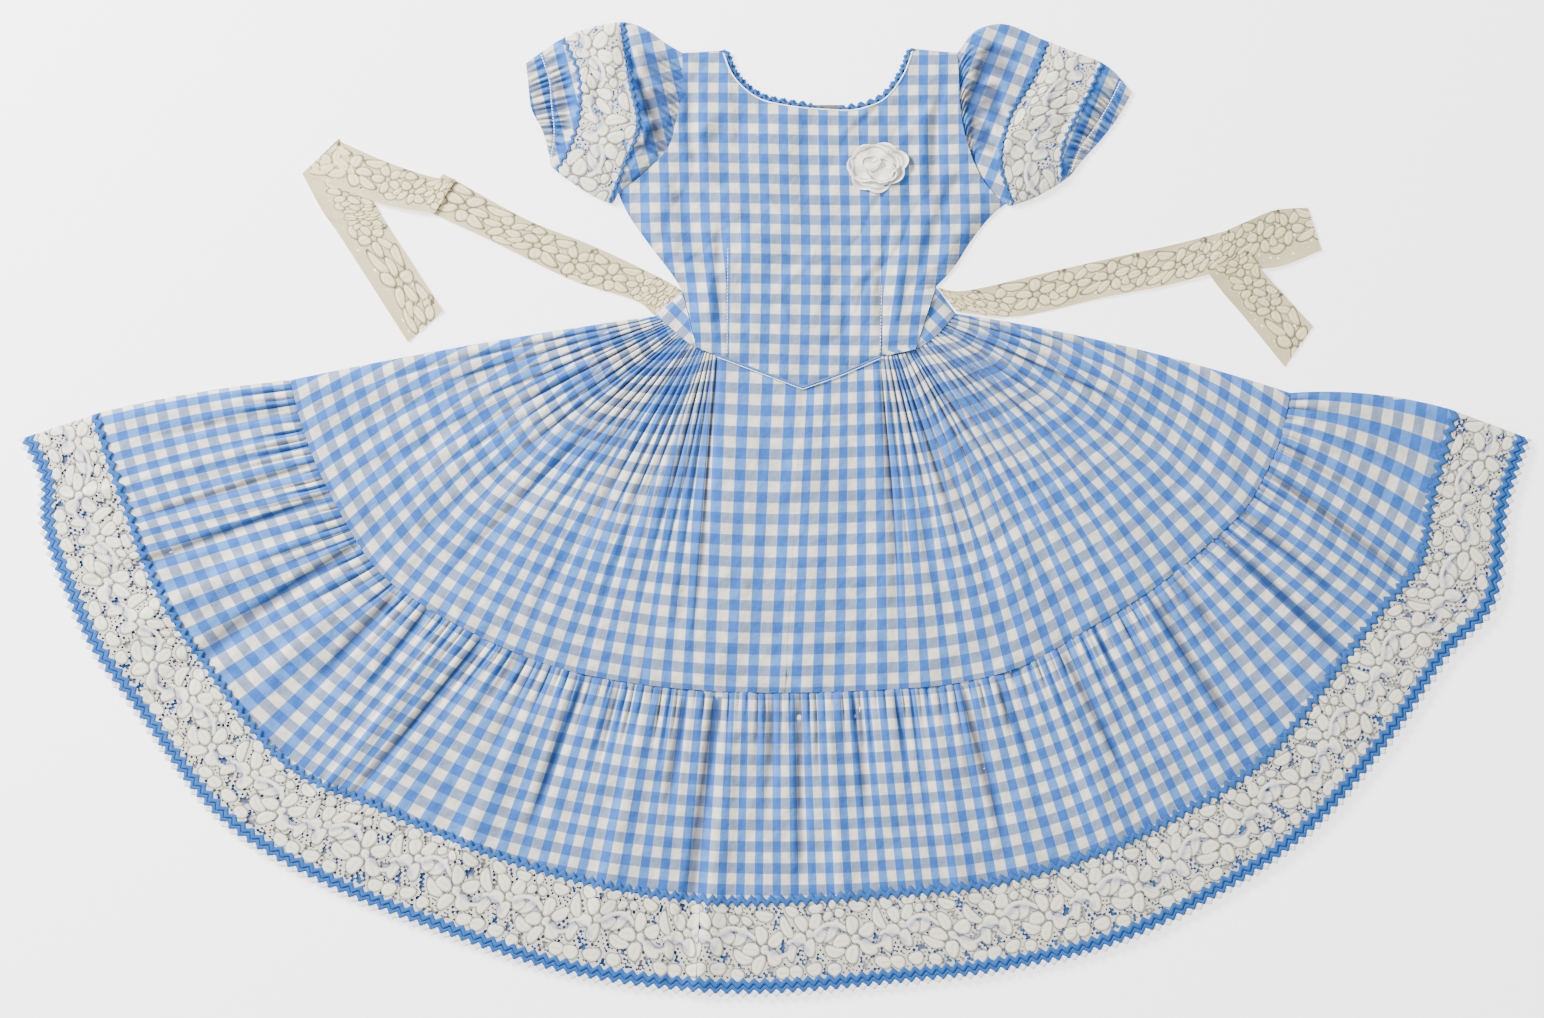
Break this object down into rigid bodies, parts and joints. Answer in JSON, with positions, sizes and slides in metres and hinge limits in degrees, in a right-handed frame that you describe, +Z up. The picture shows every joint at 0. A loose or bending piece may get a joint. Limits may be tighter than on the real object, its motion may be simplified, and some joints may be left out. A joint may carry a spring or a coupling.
{
  "type": "square dance dress",
  "caption": "Puff-sleeved gingham square dance dress laid flat, with gathered tiered skirt, lace hem, rickrack trim, waist ties and a lace rosette.",
  "frame": {"origin": "on the surface it lies on, under the middle of its bounding box", "axes": "+X to the right seen from above, +Y from hem to neck, +Z up from the surface, out of the dress's front"},
  "size_m": [1.773, 1.1413, 0.0117],
  "materials": {
    "gingham": "soft cotton gingham, matte",
    "lace": "off-white cotton lace",
    "rickrack": "blue woven braid",
    "ribbon": "cream lace ribbon",
    "rosette": "white lace flower",
    "tape": "grey-beige woven tape"
  },
  "bodies": {
    "root": {"back_closure": "tape", "bodice_back_left": "gingham", "bodice_back_right": "gingham", "bodice_front": "gingham", "bodice_side_left": "gingham", "bodice_side_right": "gingham", "hem_lace_back": "lace", "hem_lace_front": "lace", "hem_rickrack_back": "rickrack", "hem_rickrack_front": "rickrack", "neck_rickrack_back_left": "rickrack", "neck_rickrack_back_right": "rickrack", "neck_rickrack_front": "rickrack", "rickrack_top_back": "rickrack", "rickrack_top_front": "rickrack", "rosette": "rosette", "ruffle_back": "gingham", "ruffle_front": "gingham", "skirt_back": "gingham", "skirt_front_left": "gingham", "skirt_front_right": "gingham", "sleeve_lace_back_left": "lace", "sleeve_lace_back_right": "lace", "sleeve_lace_front_left": "lace", "sleeve_lace_front_right": "lace", "sleeve_left": "gingham", "sleeve_rickrack_inner_back_left": "rickrack", "sleeve_rickrack_inner_back_right": "rickrack", "sleeve_rickrack_inner_front_left": "rickrack", "sleeve_rickrack_inner_front_right": "rickrack", "sleeve_rickrack_outer_back_left": "rickrack", "sleeve_rickrack_outer_back_right": "rickrack", "sleeve_rickrack_outer_front_left": "rickrack", "sleeve_rickrack_outer_front_right": "rickrack", "sleeve_right": "gingham", "tie_left_loop": "ribbon", "tie_left_run": "ribbon", "tie_left_tail": "ribbon", "tie_right_end": "ribbon", "tie_right_run": "ribbon", "tie_right_tail": "ribbon"}
  },
  "joints": []
}
